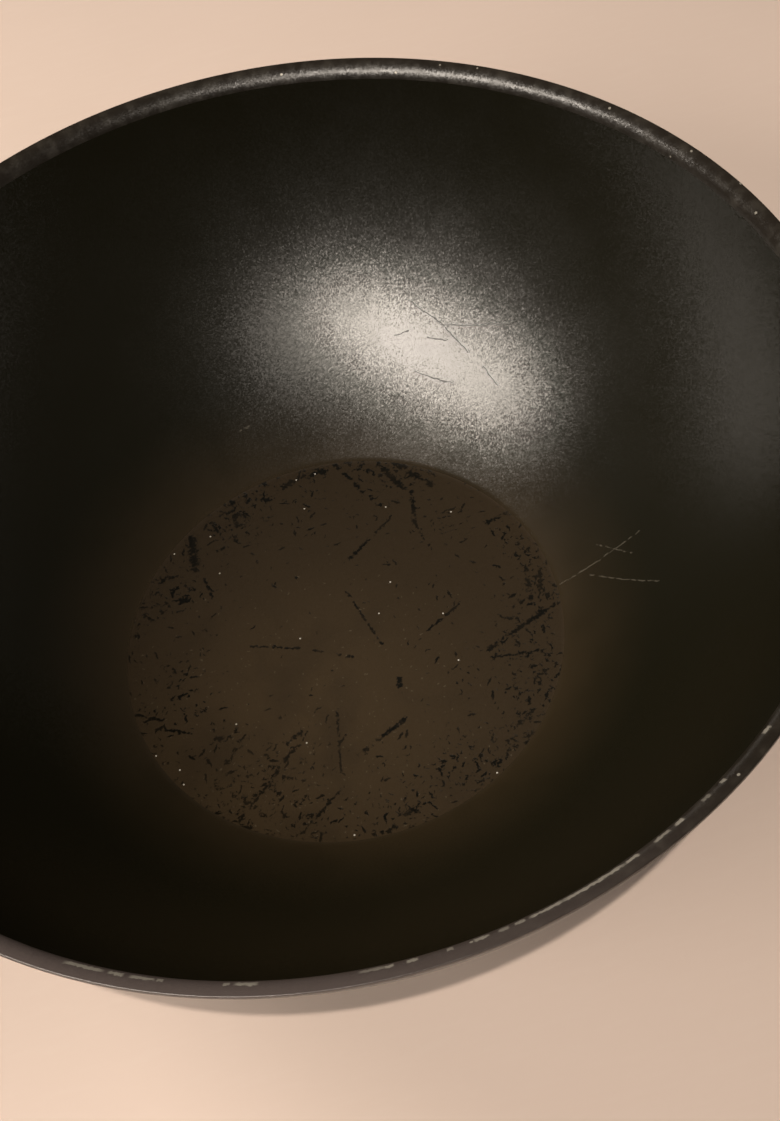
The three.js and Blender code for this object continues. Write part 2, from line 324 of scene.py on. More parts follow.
handle_point = outer_face(BRACKET_SLOPE, math.pi)[0]
handle_frame = (
    Matrix.Translation(handle_point * MM)
    @ Matrix.Rotation(math.pi, 4, "Z")
    @ Matrix.Rotation(-HANDLE_RISE, 4, "Y")
)
rivet_frames = [
    standing_on(outer_face(BRACKET_SLOPE, math.pi + side * RIVET_SPREAD)) for side in (-1, 1)
]


# ---------------------------------------------------------------- shell and base


def inside_outline():
    """From the centre of the cooking floor up the wall and over the lip to the lip's lower edge."""
    tangent = FLOOR_BLEND * math.tan(FLOOR_SLOPE / 2)
    blend_centre = (FLOOR_RADIUS - tangent, FLOOR_LEVEL + FLOOR_BLEND)
    lip_bottom = RIM_HEIGHT - LIP_FLANK
    flat = [(FLOOR_RADIUS * i / FLAT_STEPS, FLOOR_LEVEL) for i in range(FLAT_STEPS)]
    return [
        *flat,
        *arc(blend_centre, FLOOR_BLEND, 0, FLOOR_SLOPE, BLEND_STEPS),
        *arc(wall_centre, WALL_CURVE, FLOOR_SLOPE + rad(1), RIM_SLOPE - rad(0.6), WALL_STEPS),
        *arc(lip_centre, LIP_ROUNDING, math.pi + RIM_SLOPE, math.pi + rad(7), LIP_STEPS),
        *arc((RIM_RADIUS - 0.35, RIM_HEIGHT - 0.35), 0.35, math.pi, math.pi / 2, 4),
        (RIM_RADIUS, lip_bottom + 0.3),
        (RIM_RADIUS, lip_bottom),
    ]


def outside_outline():
    """From under the lip down the outer face and across the underside to the centre."""
    foot = math.acos((wall_centre[1] - UNDERSIDE) / (WALL_CURVE + WALL))
    recess = BASE_RADIUS + FIT_GAP
    lip_bottom = RIM_HEIGHT - LIP_FLANK
    return [
        (RIM_RADIUS - 0.15, lip_bottom - 0.35),
        (RIM_RADIUS - 0.4, lip_bottom - 0.7),
        (RIM_RADIUS - 0.9, lip_bottom - 1.3),
        (RIM_RADIUS - 1.4, lip_bottom - 2.0),
        *arc(wall_centre, WALL_CURVE + WALL, RIM_SLOPE - rad(1), foot + rad(0.6), WALL_STEPS),
        *arc(wall_centre, WALL_CURVE + WALL, foot + rad(0.3), foot, 2),
        (recess + 0.2, UNDERSIDE),
        (recess, UNDERSIDE + 0.2),
        (recess, BASE_THICKNESS),
        *[(recess * (1 - i / 8), BASE_THICKNESS) for i in range(1, 8)],
        (0, BASE_THICKNESS),
    ]


def pan_shell():
    """The wok's bowl. Its floor, wall, lip and outside each have a coating of their own."""
    inside = inside_outline()
    outside = outside_outline()
    mesh = turned("wok_shell", inside + outside, AROUND_SHELL)
    wall_start = FLAT_STEPS + BLEND_STEPS // 2
    lip_start = FLAT_STEPS + BLEND_STEPS + 1 + WALL_STEPS + 1
    outside_start = len(inside) - 1
    for face in mesh.polygons:
        ring = face.index // AROUND_SHELL
        starts = (wall_start, lip_start, outside_start)
        face.material_index = sum(ring >= first for first in starts)
    shell = piece("wok_shell", mesh)
    for coating in (coating_floor(), coating_wall(), coating_lip(), coating_outside()):
        shell.data.materials.append(coating)
    holes = [turned("hole", rivet_hole_outline(), 32) for _ in rivet_frames]
    combine(shell, holes, "DIFFERENCE", rivet_frames)
    sharpen(shell, rad(50))
    return shell


def rivet_hole_outline():
    """A plug that reaches through the wall and the bracket."""
    radius = RIVET_RADIUS + FIT_GAP
    return [(0, -9), (radius, -9), (radius, 9), (0, 9)]


def base_disc():
    """A pressed steel disc with shallow round grooves in its contact face."""
    mesh = turned("base_plate", base_outline(), 256)
    disc = piece("base_plate", mesh)
    disc.data.materials.append(brushed_steel_base())
    sharpen(disc)
    return disc


def base_outline():
    """The disc from the middle of its top, over its edge, to the middle of its grooved underside."""
    outline = [(0, BASE_THICKNESS)]
    outline += [(BASE_RADIUS * i / 8, BASE_THICKNESS) for i in range(1, 8)]
    outline += [(BASE_RADIUS - 0.1, BASE_THICKNESS), (BASE_RADIUS, BASE_THICKNESS - 0.1)]
    outline += [(BASE_RADIUS, 0.4), (BASE_RADIUS - 0.1, 0.15), (BASE_RADIUS - 0.4, 0)]
    for ring in range(9, 0, -1):
        groove = ring * 6
        for step in (1.0, 0.6, 0.2, -0.2, -0.6, -1.0):
            depth = 0.35 * (1 + math.cos(math.pi * step)) / 2
            outline.append((groove + step, depth))
        outline.append((groove - 3, 0))
    outline.append((0, 0))
    return outline


# ---------------------------------------------------------------- rivets


def rivet(name, place):
    """Height 0 is the wall's outer face. The domed head is inside the wok, the flat tail outside."""
    head_seat = -(WALL + 2 * FIT_GAP)
    head_top = head_seat - RIVET_HEAD_HEIGHT
    tail_seat = PAD_THICKNESS + 2 * FIT_GAP
    tail_top = tail_seat + RIVET_TAIL_HEIGHT
    dome = []
    for i in range(11):
        reach = math.sin(math.pi / 2 * i / 10)
        drop = 1 - math.sqrt(max(0.0, 1 - reach**2.6))
        dome.append((RIVET_HEAD_RADIUS * reach, head_top + (RIVET_HEAD_HEIGHT - 0.3) * drop))
    outline = [
        *dome,
        (RIVET_HEAD_RADIUS - 0.1, head_seat),
        (RIVET_RADIUS, head_seat),
        (RIVET_RADIUS, tail_seat),
        (RIVET_TAIL_RADIUS - 0.1, tail_seat),
        (RIVET_TAIL_RADIUS, tail_seat + 0.1),
        (RIVET_TAIL_RADIUS, tail_top - 0.6),
        (RIVET_TAIL_RADIUS - 0.2, tail_top - 0.25),
        (RIVET_TAIL_RADIUS - 0.6, tail_top),
        (2.2, tail_top),
        (1.8, tail_top - 0.25),
        (0, tail_top - 0.4),
    ]
    made = piece(name, turned(name, outline, AROUND_SMALL), place)
    made.data.materials.append(rivet_aluminium())
    sharpen(made)
    return made


# ---------------------------------------------------------------- bracket

NECK = [
    (-7, 21, 11.5, 0, 2.6),
    (4, 18.5, 10.5, 0, 2.6),
    (9, 15.5, 9.6, 0, 2.5),
    (15, 13.4, 9, 0, 2.4),
    (22, 12.4, 8.6, 0, 2.4),
    (GUARD_START - FIT_GAP, 12, 8.4, 0, 2.4),
]


def tenon(name, grow, start, end):
    """The squarish tongue that the grip slides over, grown by a gap where it cuts."""
    section = (TENON_HALF_WIDTH + grow, TENON_HALF_HEIGHT + grow, 0, 5)
    return lofted(name, [(start, *section), (end, *section)], AROUND_GRIP)


def wall_envelope(outside):
    """The space filled by the wok's outer face and a gap round it."""
    curve = arc(wall_centre, WALL_CURVE + WALL + outside, rad(45), rad(89), 40)
    outline = [(0, curve[0][1]), *curve, (0, curve[-1][1])]
    return turned("envelope", outline, 288)


def handle_bracket():
    """A saddle on the wall that runs out into a neck and a tenon."""
    half = PAD_HEIGHT / 2
    side = PAD_WIDTH / 2 - half
    pad = stadium("handle_mount", (0, side, 0), (0, -side, 0), half, 0, 90)
    pad.transform(Matrix.Rotation(-math.pi / 2, 4, "Y"))
    pad.transform(Matrix.Translation(Vector((-RIM_RADIUS / 2, 0, handle_point.z)) * MM))
    bracket = piece("handle_mount", pad)
    still = Matrix.Identity(4)
    combine(bracket, [wall_envelope(FIT_GAP + PAD_THICKNESS)], "INTERSECT", [still])
    neck = lofted("neck", blended(NECK, 6), AROUND_GRIP)
    tongue = tenon("tongue", 0, GUARD_START - 2, TENON_END)
    combine(bracket, [neck, tongue], "UNION", [handle_frame, handle_frame])
    combine(bracket, [wall_envelope(FIT_GAP)], "DIFFERENCE", [still])
    thread = bar("thread", SCREW_RADIUS + FIT_GAP, TENON_END - 24, TENON_END + 1)
    combine(bracket, [thread], "DIFFERENCE", [handle_frame])
    holes = [turned("hole", rivet_hole_outline(), 32) for _ in rivet_frames]
    combine(bracket, holes, "DIFFERENCE", rivet_frames)
    bevelled(bracket, 0.9, 3, rad(50))
    sharpen(bracket)
    bracket.data.materials.append(cast_aluminium())
    return bracket


# ---------------------------------------------------------------- flame guard, grip and tie screw


def flame_guard():
    """A thin sleeve with a closed near end, which covers the gap between neck and grip."""
    outer = [
        (GUARD_START, 12.2, 8.6, 0, 2.4),
        (GUARD_START + 0.4, 12.75, 9.15, 0, 2.4),
        (GUARD_START + 1, 13, 9.4, 0, 2.4),
        (GUARD_START + 7, 13.65, 9.95, 0, 2.4),
        (GUARD_START + 14, 14.2, 10.4, 0, 2.4),
        (GUARD_START + 24, 14.8, 10.95, 0, 2.4),
        (GUARD_END, 15.2, 11.4, 0, 2.4),
    ]
    inner = []
    for x, half_width, half_height, lift, squareness in outer[2:]:
        reach = x if x < GUARD_END else x + 1
        inner.append((reach, half_width - GUARD_SHEET, half_height - GUARD_SHEET, lift, squareness))
    mesh = lofted("guard_ferrule", blended(outer, 4), AROUND_GRIP)
    guard = piece("guard_ferrule", mesh, handle_frame)
    cutters = [
        lofted("hollow", blended(inner, 4), AROUND_GRIP),
        tenon("hole", FIT_GAP, GUARD_START - 1, GUARD_START + 2),
    ]
    combine(guard, cutters, "DIFFERENCE")
    sharpen(guard)
    settled(guard)
    guard.data.materials.append(guard_steel())
    return guard


def grip_sections():
    """The spigot inside the flame guard, then the waisted body."""
    start = GUARD_END + FIT_GAP
    body = [
        (start, 14.8, 11, 0, 2.4),
        (start + 1, 15.2, 11.4, 0, 2.4),
        (start + 14, 14.4, 10.9, 0, 2.4),
        (start + 32, 13.6, 10.4, -0.3, 2.4),
        (start + 56, 13.8, 10.4, -0.8, 2.4),
        (start + 80, 14.6, 10.5, -1, 2.5),
        (start + 104, 15, 10, -0.8, 2.6),
        (start + 128, 14.8, 9.2, -0.3, 2.7),
        (start + 150, 14.2, 8.4, 0.2, 2.7),
        (GRIP_END - 14, 13.2, 8, 0.4, 2.7),
        (GRIP_END - 6, 11.2, 7.4, 0.5, 2.6),
        (GRIP_END - 1.5, 8, 6.4, 0.5, 2.4),
        (GRIP_END, 6, 5.4, 0.5, 2.2),
    ]
    spigot = [
        (GUARD_END - SPIGOT_LENGTH, 13.3, 9.5, 0, 2.4),
        (start - 0.001, 13.7, 9.9, 0, 2.4),
    ]
    return spigot + blended(body, 6)


def handle_grip():
    """The moulded grip with its socket, its screw pocket and its hanging slot."""
    mesh = lofted("grip", grip_sections(), AROUND_GRIP)
    grip = piece("grip", mesh, handle_frame)
    pocket = SCREW_HEAD_RADIUS + 2 * FIT_GAP
    slot = stadium(
        "slot",
        (SLOT_START + SLOT_HALF_WIDTH, 0, 0),
        (SLOT_END - SLOT_HALF_WIDTH, 0, 0),
        SLOT_HALF_WIDTH,
        -20,
        20,
    )
    cutters = [
        tenon("socket", FIT_GAP, GUARD_END - SPIGOT_LENGTH - 1, TENON_END + FIT_GAP),
        bar("bore", SCREW_RADIUS + FIT_GAP, TENON_END, SLOT_START - HEAD_POCKET + 1),
        bar("pocket", pocket, SLOT_START - HEAD_POCKET, SLOT_START + 1),
        slot,
        bar("entry", pocket - FIT_GAP, SLOT_END - 1, GRIP_END + 1),
    ]
    combine(grip, cutters, "DIFFERENCE")
    bevelled(grip, 0.7, 3, rad(50))
    sharpen(grip)
    settled(grip)
    grip.data.materials.append(phenolic())
    return grip


WASHER_SEAT = SLOT_START - HEAD_POCKET + FIT_GAP


def washer():
    hole = SCREW_RADIUS + FIT_GAP
    low = WASHER_SEAT
    high = WASHER_SEAT + WASHER_THICKNESS
    edge = 0.12
    outline = [
        (hole, low + edge),
        (hole + edge, low),
        (SCREW_HEAD_RADIUS - edge, low),
        (SCREW_HEAD_RADIUS, low + edge),
        (SCREW_HEAD_RADIUS, high - edge),
        (SCREW_HEAD_RADIUS - edge, high),
        (hole + edge, high),
        (hole, high - edge),
    ]
    mesh = turned("flat_washer", outline, AROUND_SMALL)
    mesh.transform(Matrix.Rotation(math.pi / 2, 4, "Y"))
    made = piece("flat_washer", mesh, handle_frame)
    settled(made)
    made.data.materials.append(zinc_steel("zinc_washer"))
    sharpen(made)
    return made


def drive_slot(head_top):
    """The space of a straight screwdriver slot across the screw's head."""
    cube = bmesh.new()
    bmesh.ops.create_cube(cube, size=1)
    mesh = bpy.data.meshes.new("drive")
    cube.to_mesh(mesh)
    cube.free()
    across = 14
    mesh.transform(Matrix.Diagonal((2 * DRIVE_DEPTH * MM, across * MM, DRIVE_WIDTH * MM, 1)))
    mesh.transform(Matrix.Translation((head_top * MM, 0, 0)))
    return mesh


def tie_screw():
    """The long screw with its thread and its slotted head."""
    end = TENON_END - 22
    head_seat = WASHER_SEAT + WASHER_THICKNESS + FIT_GAP
    head_top = head_seat + SCREW_HEAD_HEIGHT
    thread = []
    for turn in range(THREAD_TURNS):
        foot = end + (turn + 1) * THREAD_PITCH
        thread += [(SCREW_RADIUS - 0.35, foot), (SCREW_RADIUS, foot + THREAD_PITCH / 2)]
    outline = [
        (0, end),
        (SCREW_RADIUS - 0.6, end),
        *thread,
        (SCREW_RADIUS - 0.3, end + 24),
        (SCREW_RADIUS - 0.3, head_seat),
        (SCREW_HEAD_RADIUS - 0.1, head_seat),
        (SCREW_HEAD_RADIUS, head_seat + 0.1),
        (SCREW_HEAD_RADIUS, head_top - 1.2),
        (SCREW_HEAD_RADIUS - 0.3, head_top - 0.6),
        (SCREW_HEAD_RADIUS - 1, head_top - 0.2),
        (SCREW_HEAD_RADIUS - 2.2, head_top),
        (0, head_top),
    ]
    mesh = turned("long_screw", outline, AROUND_SMALL)
    mesh.transform(Matrix.Rotation(math.pi / 2, 4, "Y"))
    made = piece("long_screw", mesh, handle_frame)
    combine(made, [drive_slot(head_top)], "DIFFERENCE")
    settled(made)
    made.data.materials.append(zinc_steel("zinc_screw"))
    sharpen(made)
    return made


# ---------------------------------------------------------------- material helpers


class Shader:
    """One procedural material. Its helpers add a node and give back the node's output."""

    def __init__(self, name, place=None):
        self.material = bpy.data.materials.new(name)
        self.material.use_nodes = True
        self.tree = self.material.node_tree
        self.surface = self.tree.nodes["Principled BSDF"]
        place = place or Matrix.Identity(4)
        local = self.node("ShaderNodeMapping", vector_type="TEXTURE")
        self.link(self.node("ShaderNodeTexCoord").outputs["Object"], local.inputs["Vector"])
        local.inputs["Location"].default_value = place.to_translation()
        local.inputs["Rotation"].default_value = place.to_euler()
        local.inputs["Scale"].default_value = (MM, MM, MM)
        self.place = local.outputs[0]  # millimetres in the piece's own frame
        self.x, self.y, self.z = self.split(self.place)
        self.flat = self.vector("MULTIPLY", self.place, (1, 1, 0))
        self.radius = self.vector("LENGTH", self.flat)

    def node(self, kind, **settings):
        made = self.tree.nodes.new(kind)
        for key, value in settings.items():
            setattr(made, key, value)
        return made

    def link(self, source, target):
        if hasattr(source, "is_output"):
            self.tree.links.new(source, target)
        else:
            target.default_value = source

    def math(self, operation, *values):
        made = self.node("ShaderNodeMath", operation=operation)
        for value, socket in zip(values, made.inputs):
            self.link(value, socket)
        return made.outputs[0]

    def vector(self, operation, *values, scale=None):
        made = self.node("ShaderNodeVectorMath", operation=operation)
        for value, socket in zip(values, made.inputs):
            self.link(value, socket)
        if scale is not None:
            self.link(scale, made.inputs["Scale"])
        return made.outputs["Value" if operation in ("LENGTH", "DOT_PRODUCT") else "Vector"]

    def smooth(self, value, start, end, low=0.0, high=1.0):
        """Goes smoothly from low to high while the value goes from start to end."""
        made = self.node("ShaderNodeMapRange", interpolation_type="SMOOTHSTEP")
        for given, socket in zip((value, start, end, low, high), made.inputs):
            self.link(given, socket)
        return made.outputs[0]

    def noise(self, scale, detail=2.0, vector=None, rough=0.5):
        made = self.node("ShaderNodeTexNoise")
        self.link(self.place if vector is None else vector, made.inputs["Vector"])
        made.inputs["Scale"].default_value = scale
        made.inputs["Detail"].default_value = detail
        made.inputs["Roughness"].default_value = rough
        return made

    def cells(self, scale, vector=None, dimensions="3D"):
        made = self.node("ShaderNodeTexVoronoi", voronoi_dimensions=dimensions)
        self.link(self.place if vector is None else vector, made.inputs["Vector"])
        made.inputs["Scale"].default_value = scale
        return made

    def mix(self, factor, a, b):
        made = self.node("ShaderNodeMix", data_type="RGBA")
        self.link(factor, made.inputs["Factor"])
        self.link(a, made.inputs[6])
        self.link(b, made.inputs[7])
        return made.outputs[2]

    def blend(self, factor, a, b):
        """A number between a and b."""
        made = self.node("ShaderNodeMix", data_type="FLOAT")
        self.link(factor, made.inputs[0])
        self.link(a, made.inputs[2])
        self.link(b, made.inputs[3])
        return made.outputs[0]

    def facets(self, scale, amount):
        """The surface's normal, tipped a little in each small cell, so that grains sparkle."""
        grain = self.cells(scale).outputs["Color"]
        centred = self.vector("SUBTRACT", grain, (0.5, 0.5, 0.5))
        normal = self.node("ShaderNodeNewGeometry").outputs["Normal"]
        tipped = self.vector("ADD", normal, self.vector("SCALE", centred, scale=amount))
        return self.vector("NORMALIZE", tipped)

    def bump(self, height, distance, normal=None, strength=1.0):
        made = self.node("ShaderNodeBump")
        made.inputs["Strength"].default_value = strength
        made.inputs["Distance"].default_value = distance * MM
        self.link(height, made.inputs["Height"])
        if normal is not None:
            self.link(normal, made.inputs["Normal"])
        return made.outputs[0]

    def shaken(self, ragged, amount):
        """The place seen from above, moved a little by a coloured noise so that marks aren't ruled lines."""
        shake = self.vector("SUBTRACT", ragged.outputs["Color"], (0.5, 0.5, 0.5))
        return self.vector("ADD", self.flat, self.vector("MULTIPLY", shake, (amount, amount, 0)))

    def stroke(self, start, end, half_width, wobble):
        """The distance from a straight scratch seen from above, counted in its half widths."""
        along = Vector((end[0] - start[0], end[1] - start[1], 0))
        away = self.vector("SUBTRACT", wobble, (start[0], start[1], 0))
        reach = self.vector("DOT_PRODUCT", away, tuple(along / along.length_squared))
        reach = self.math("MINIMUM", self.math("MAXIMUM", reach, 0.0), 1.0)
        foot = self.vector("SCALE", tuple(along), scale=reach)
        off = self.vector("LENGTH", self.vector("SUBTRACT", away, foot))
        return self.math("DIVIDE", off, half_width)

    def scratches(self, rows, wobble, raggedness=0.0):
        """1 on any of the scratches in a list of (start, end, half width), with uneven edges."""
        off = self.least(*[self.stroke(*row, wobble) for row in rows])
        if raggedness:
            uneven = self.noise(1.1, 2.0, self.flat, 0.6).outputs[0]
            uneven = self.product(self.math("SUBTRACT", uneven, 0.5), raggedness)
            off = self.math("ADD", off, uneven)
        return self.smooth(off, 1.1, 0.6)

    def flecks(self, cell, length, width, density, vector):
        """Short marks, one in some of the cells, each turned its own way. Density is a socket, 0 to 1."""
        cells = self.cells(1 / cell, vector, "2D")
        chance = self.split(cells.outputs["Color"])
        away = self.vector("SUBTRACT", vector, cells.outputs["Position"])
        turn = self.node("ShaderNodeVectorRotate", rotation_type="Z_AXIS")
        self.link(away, turn.inputs["Vector"])
        self.link(self.math("MULTIPLY", chance[0], 2 * math.pi), turn.inputs["Angle"])
        shape = self.vector("MULTIPLY", turn.outputs[0], (1 / length, 1 / width, 0))
        spread = self.smooth(chance[2], 0.0, 1.0, 0.35, 1.0)
        off = self.math("DIVIDE", self.vector("LENGTH", shape), spread)
        inside = self.smooth(off, 1.0, 0.7)
        chosen = self.math("LESS_THAN", chance[1], density)
        return self.math("MULTIPLY", inside, chosen)

    def most(self, *values):
        return reduce(lambda a, b: self.math("MAXIMUM", a, b), values)

    def least(self, *values):
        return reduce(lambda a, b: self.math("MINIMUM", a, b), values)

    def product(self, *values):
        return reduce(lambda a, b: self.math("MULTIPLY", a, b), values)

    def split(self, vector):
        """A vector's or a colour's three numbers."""
        made = self.node("ShaderNodeSeparateXYZ")
        self.link(vector, made.inputs[0])
        return made.outputs

    def finish(self, **sockets):
        names = {
            "colour": "Base Color",
            "metallic": "Metallic",
            "roughness": "Roughness",
            "specular": "Specular IOR Level",
            "normal": "Normal",
        }
        for key, value in sockets.items():
            self.link(value, self.surface.inputs[names[key]])
        return self.material


# ---------------------------------------------------------------- materials

BLACK_COAT = (0.0074, 0.0065, 0.0031, 1)
FLOOR_BROWN = (0.0265, 0.0180, 0.0095, 1)
FLOOR_WARM = (0.042, 0.028, 0.0140, 1)
FLECK_BLACK = (0.0030, 0.0026, 0.0014, 1)
BARE_METAL = (0.42, 0.40, 0.36, 1)

# Scratches on the cooking floor: start, end and half width.
LONG_SCRATCHES = [
    ((7, 27), (25, 39), 0.55),
    ((5, 17), (11, -6), 0.45),
    ((26, -6), (38, 0), 0.5),
    ((42, -19), (66, -10), 0.75),
    ((42, -22), (60, -25), 0.4),
    ((-5, -41), (11, -34), 0.8),
    ((12, -24), (13, -20), 0.9),
    ((-8, -24), (-12, -45), 0.4),
    ((-24, -33), (-34, -42), 0.7),
    ((-34, -42), (-45, -51), 0.5),
    ((-29, 7), (-14, 1), 0.4),
    ((-10, -1), (5, -10), 0.45),
    ((-28, -61), (-14, -51), 0.5),
    ((33, -58), (38, -54), 0.6),
    ((42, -47), (48, -44), 0.6),
    ((14, 67), (20, 53), 0.9),
    ((28, 61), (33, 50), 1.2),
    ((34, 60), (42, 48), 1.2),
    ((36, 50), (33, 35), 0.8),
    ((33, 35), (35, 25), 0.5),
    ((-38, 37), (-37, 29), 0.5),
    ((-31, 57), (-29, 52), 0.6),
    ((-23, 65), (-23, 55), 1.3),
    ((-39, 55), (-40, 42), 1.7),
    ((-69, -5), (-61, -10), 0.5),
    ((-62, -13), (-54, -17), 0.6),
    ((62, 6), (60, -6), 0.8),
    ((66, 4), (62, -10), 0.7),
    ((67, 14), (61, 10), 0.5),
    ((3, 67), (9, 66), 1.9),
    ((-6, 64), (0, 66), 1.2),
    ((-13, 62), (-11, 61), 1.2),
    ((-47, 31), (-45, 31), 1.3),
    ((3, -65), (7, -64), 1.1),
    ((55, 27), (66, 29), 0.7),
    ((-46, -22), (-42, -23), 1.0),
    ((-23, -29), (-19, -28), 0.8),
]

# Hairline scratches on the wall, seen from above.
DARK_HAIRLINES = [
    ((52.5, 98.5), (60.4, 89.1), 0.15),
    ((60.4, 89.1), (66.3, 77.9), 0.16),
    ((60.2, 88.5), (81.8, 76.3), 0.13),
    ((48, 82), (59, 73), 0.14),
    ((55, 88), (61, 84), 0.14),
    ((45, 93), (50, 92), 0.13),
    ((69.5, 72), (72, 65), 0.13),
]
PALE_HAIRLINES = [
    ((70, -4), (96, -5), 0.24),
    ((79, -7), (95, -25), 0.20),
    ((84, 1), (92, -10), 0.22),
    ((-13.5, 84.6), (-9, 85.5), 0.3),
]


def coating_floor():
    """The worn brown coating of the flat cooking floor, with black chips, scratches and pale specks."""
    s = Shader("coating_floor")
    wobble = s.shaken(s.noise(0.9, 2.0, s.flat), 1.6)
    broken = s.smooth(s.noise(0.45, 1.0).outputs[0], 0.38, 0.50)
    long_marks = s.product(s.scratches(LONG_SCRATCHES, wobble, 3.5), broken)
    ring = s.smooth(s.radius, 26, 64, 0.0, 1.0)
    crowd = s.smooth(s.noise(0.05, 1.0).outputs[0], 0.36, 0.66)
    near_left = s.vector("LENGTH", s.vector("SUBTRACT", s.flat, (-32, -38, 0)))
    worn = s.math("ADD", s.product(ring, 0.5), s.product(ring, crowd))
    worn = s.math("ADD", worn, s.smooth(near_left, 34, 8, 0.0, 0.8))
    grain = s.noise(0.42, 3.0, wobble, 0.65).outputs[0]
    limit = s.math("SUBTRACT", 0.725, s.product(worn, 0.110))
    chips = s.smooth(s.math("SUBTRACT", grain, limit), 0.0, 0.03)
    coarse = s.flecks(4.4, 1.9, 0.46, s.math("ADD", 0.07, s.product(worn, 0.45)), wobble)
    fine = s.flecks(2.1, 0.75, 0.26, s.math("ADD", 0.06, s.product(worn, 0.26)), wobble)
    marks = s.most(long_marks, chips, coarse, fine)

    speck_cells = s.cells(1 / 6.5, s.flat, "2D")
    speck_core = s.smooth(speck_cells.outputs["Distance"], 0.05, 0.035)
    speck_chance = s.split(speck_cells.outputs["Color"])[0]
    specks = s.product(speck_core, s.math("GREATER_THAN", speck_chance, 0.94))

    warm = s.smooth(s.vector("LENGTH", s.vector("SUBTRACT", s.flat, (-24, -30, 0))), 85, 5)
    cloudy = s.noise(0.06, 2.0).outputs[0]
    warm = s.product(warm, s.smooth(cloudy, 0.25, 0.6, 0.35, 1.0))
    colour = s.mix(warm, FLOOR_BROWN, FLOOR_WARM)
    dust = s.flecks(1.7, 0.42, 0.24, s.product(warm, 0.30), wobble)
    colour = s.mix(s.product(dust, 0.6), colour, (0.085, 0.068, 0.045, 1))
    depth = s.smooth(s.noise(0.11, 1.0).outputs[0], 0.40, 0.60, 0.80, 1.0)
    depth = s.product(depth, s.smooth(near_left, 36, 12, 1.0, 0.85))
    colour = s.mix(s.product(marks, depth), colour, FLECK_BLACK)
    colour = s.mix(specks, colour, BARE_METAL)
    normal = s.bump(s.math("MULTIPLY", marks, -1.0), 0.06, s.facets(1 / 0.6, 0.1), 0.5)
    return s.finish(colour=colour, roughness=0.45, specular=0.35, normal=normal)


def coating_wall():
    """The near-black coating of the wall, with a fine sparkling grain and a brown haze near the floor."""
    s = Shader("coating_wall")
    height = s.math("MAXIMUM", s.math("DIVIDE", s.math("SUBTRACT", 98, s.radius), 28.0), 0.0)
    cloudy = s.noise(0.05, 2.0).outputs[0]
    haze = s.product(s.math("POWER", height, 1.5), s.smooth(cloudy, 0.2, 0.6, 0.36, 0.52))
    colour = s.mix(haze, BLACK_COAT, FLOOR_WARM)
    ragged = s.noise(0.6, 2.0, s.flat)
    wobble = s.shaken(ragged, 1.1)
    dark = s.scratches(DARK_HAIRLINES, wobble)
    pale = s.scratches(PALE_HAIRLINES, wobble)
    pale = s.product(pale, s.smooth(ragged.outputs[0], 0.40, 0.55))
    colour = s.mix(s.product(pale, 0.5), colour, (0.10, 0.09, 0.07, 1))
    roughness = s.smooth(cloudy, 0.3, 0.7, 0.24, 0.27)
    roughness = s.blend(s.product(dark, 0.45), roughness, 0.75)
    return s.finish(
        colour=colour, roughness=roughness, specular=0.6, normal=s.facets(1 / 0.38, 0.09)
    )


# Worn dashes on the lip's inner rounding: azimuth in degrees, half length in degrees and strength.
LIP_DASHES = [
    (-120.8, 1.8, 1.0),
    (-117.8, 0.7, 1.0),
    (-115.4, 1.1, 0.9),
    (-113.8, 0.3, 0.7),
    (-108.0, 0.3, 0.8),
    (-106.3, 1.0, 1.0),
    (-95.5, 1.2, 0.5),
    (-94.1, 0.4, 1.0),
    (-92.1, 0.5, 1.0),
    (-88.8, 0.3, 0.6),
    (-86.0, 0.7, 0.8),
    (-84.0, 0.5, 0.5),
    (-82.5, 0.5, 0.7),
    (-80.0, 1.6, 1.0),
    (-75.4, 3.2, 1.0),
    (-71.4, 0.7, 1.0),
    (-68.1, 0.9, 0.7),
    (-66.1, 0.5, 1.0),
    (-62.8, 0.5, 0.4),
    (-60.6, 0.3, 0.7),
    (-54.2, 0.5, 0.8),
]


